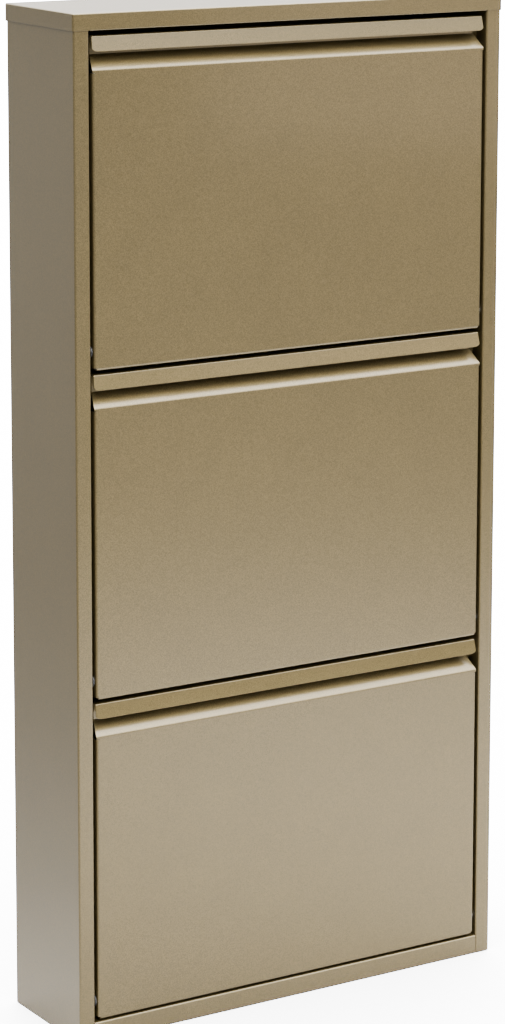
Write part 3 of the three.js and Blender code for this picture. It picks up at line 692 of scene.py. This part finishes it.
# %% Screws and feet
CROSS = (3.2 * mm, 0.7 * mm, 0.35 * mm)      # length, width and depth of the drive recess
for node in [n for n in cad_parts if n.startswith("back_screw_")]:
    low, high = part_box(node)
    at = middle(node)
    screw = turned_part([(0, 0), (0, 2.6), (0.25, 3.4), (0.7, 4), (0.7, 1.8), (6.4, 1.8), (7.7, 0.9),
                         (7.7, 0)],
                        "y", (at.x, high.y, at.z), -1)
    length, width, depth = (v / 2 for v in CROSS)
    cross = [slab((at.x - a, high.y - 2 * depth, at.z - b), (at.x + a, high.y + PAST, at.z + b))
             for a, b in ((length, width), (width, length))]
    small(node + "_turned", screw, zinc, "cabinet", node, cross)

for node in [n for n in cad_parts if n.startswith("foot_")]:
    low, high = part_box(node)
    at, tall = middle(node), (high.z - low.z) / mm
    foot = turned_part([(0, 0), (0, 8.2), (0.6, 9), (3.4, 9), (4, 8.4), (6, 5), (tall, 5), (tall, 0)],
                       "z", (at.x, at.y, 0))
    small(node + "_moulded", foot, plastic, "cabinet", node)

# %% [markdown]
# ## Floor, light and finish
# A floor that takes only the cabinet's soft shadow, in front of a white backdrop. Its colour is a painted
# pool of light: near white round a spot by the cabinet's foot, painted darker further off. The studio
# around it is bright overhead and dim at eye level, because a coat like this shows its colour by
# what it mirrors: the floor's painted pool of light near its foot makes the lower flaps paler than the
# upper ones, bright walls in front light the lips that lean back, and a card behind lights the top. One small
# warm box in front adds a sheen to the top flap.

# %% Floor
FLOOR_SIZE = 12
FLOOR_REACH = 10.0
# The floor's colour is a painted pool of light: near white round this spot, painted darker with distance.
FLOOR_PAINTED_POOL_CENTRE = (0.45, -0.55, 0)
FLOOR_PAINTED_POOL_TONES = ((0.0, "#b8b7b5"), (0.5, "#abaaa8"), (0.75, "#989796"), (1.3, "#5e5d5c"), (1.9, "#3c3b3b"),
               (2.7, "#282828"), (7.0, "#333231"))
floor_mesh = bpy.data.meshes.new("floor")
work = bmesh.new()
bmesh.ops.create_grid(work, x_segments=1, y_segments=1, size=FLOOR_SIZE)
work.to_mesh(floor_mesh)
work.free()
floor = bpy.data.objects.new("floor", floor_mesh)
bpy.context.scene.collection.objects.link(floor)
painted_pool_floor, tree, shader, place = new_material("floor_painted_light_pool")
# Painted light: the floor's colour gets lighter towards the spot, not a lamp.
distance = add_node(tree, "VectorMath", {"operation": "DISTANCE"}, i0=place, i1=FLOOR_PAINTED_POOL_CENTRE)
tone = add_node(tree, "ValToRGB", Fac=ramp(tree, distance.outputs["Value"], 0, FLOOR_REACH, 0, 1))
marks = tone.color_ramp.elements
while len(marks) < len(FLOOR_PAINTED_POOL_TONES):
    marks.new(0.5)
for mark, (at, hex_value) in zip(marks, FLOOR_PAINTED_POOL_TONES):
    mark.position = at / FLOOR_REACH
    mark.color = colour(hex_value)
tree.links.new(tone.outputs["Color"], shader.inputs["Base Color"])
shader.inputs["Roughness"].default_value = 0.6
floor_mesh.materials.append(painted_pool_floor)
floor.is_shadow_catcher = True

# %% Light
DOME = 28.0                # brightest level: the ramps hold shares of it, the world's strength restores them
WALL_FOOT = -0.2
BACKDROP = 16.0
FADE, FULL = 0.6, 0.95     # how nearly a look has to face a wall for it to start and to be complete
FRONT_WAY, CARD_WAY = (0.53, -0.83, 0), (0.53, 0.83, 0)
world = bpy.data.worlds.new("studio")
bpy.context.scene.world = world
world.use_nodes = True
tree = world.node_tree
background = tree.nodes["Background"]
look = add_node(tree, "TexCoord").outputs["Generated"]
direction = add_node(tree, "SeparateXYZ", Vector=look)


def wall_levels(stops):
    """Brightness of the studio against height: stops of (sine of the elevation, level)."""
    curve = add_node(tree, "ValToRGB", Fac=ramp(tree, direction.outputs["Z"], WALL_FOOT, 1, 0, 1))
    marks = curve.color_ramp.elements
    while len(marks) < len(stops):
        marks.new(0.5)
    for mark, (at, level) in zip(marks, stops):
        mark.position = (at - WALL_FOOT) / (1 - WALL_FOOT)
        mark.color = (level / DOME, level / DOME, level / DOME, 1)
    return curve.outputs["Color"]


walls = wall_levels(((-0.1, 0.45), (0.0, 0.45), (0.20, 0.4), (0.32, 1.3), (0.6, 9.0), (0.8, 26.0)))
front = wall_levels(((-0.1, 0.25), (0.13, 0.25), (0.22, 1.5), (0.33, 13.0), (0.6, 19.0), (0.8, 28.0)))
card = wall_levels(((-0.1, 2.6), (0.25, 2.6), (0.6, 9.0), (0.8, 26.0)))


def towards(way):
    """1 in this compass direction, falling to 0 well before a right angle from it."""
    facing = add_node(tree, "VectorMath", {"operation": "DOT_PRODUCT"}, i0=look, i1=way).outputs["Value"]
    return ramp(tree, facing, FADE, FULL, 0, 1)


with_front = add_node(tree, "Mix", {"data_type": "RGBA"}, i0=towards(FRONT_WAY), i6=walls, i7=front)
studio = add_node(tree, "Mix", {"data_type": "RGBA"}, i0=towards(CARD_WAY), i6=with_front.outputs[2], i7=card)
tree.links.new(studio.outputs[2], background.inputs["Color"])
background.inputs["Strength"].default_value = DOME
white = add_node(tree, "Background", Color=(1, 1, 1, 1), Strength=BACKDROP)
seen = add_node(tree, "LightPath").outputs["Is Camera Ray"]
both = add_node(tree, "MixShader", i0=seen, i1=background.outputs[0], i2=white.outputs[0])
tree.links.new(both.outputs[0], tree.nodes["World Output"].inputs["Surface"])


def soft_box(name, place, aim, size, power, tint):
    data = bpy.data.lights.new(name, "AREA")
    data.shape = "RECTANGLE"
    data.size, data.size_y = size
    data.energy = power
    data.color = colour(tint)[:3]
    light = bpy.data.objects.new(name, data)
    bpy.context.scene.collection.objects.link(light)
    light.location = place
    light.rotation_euler = (Vector(aim) - Vector(place)).to_track_quat("-Z", "Y").to_euler()
    light.visible_camera = False


soft_box("small_front_box", place=(0.79, -0.99, 0.92), aim=(0.15, -0.07, 1.02), size=(0.60, 0.36),
         power=2.0, tint="#ffe9c8")
print("studio dome level", DOME, "with one small front box")
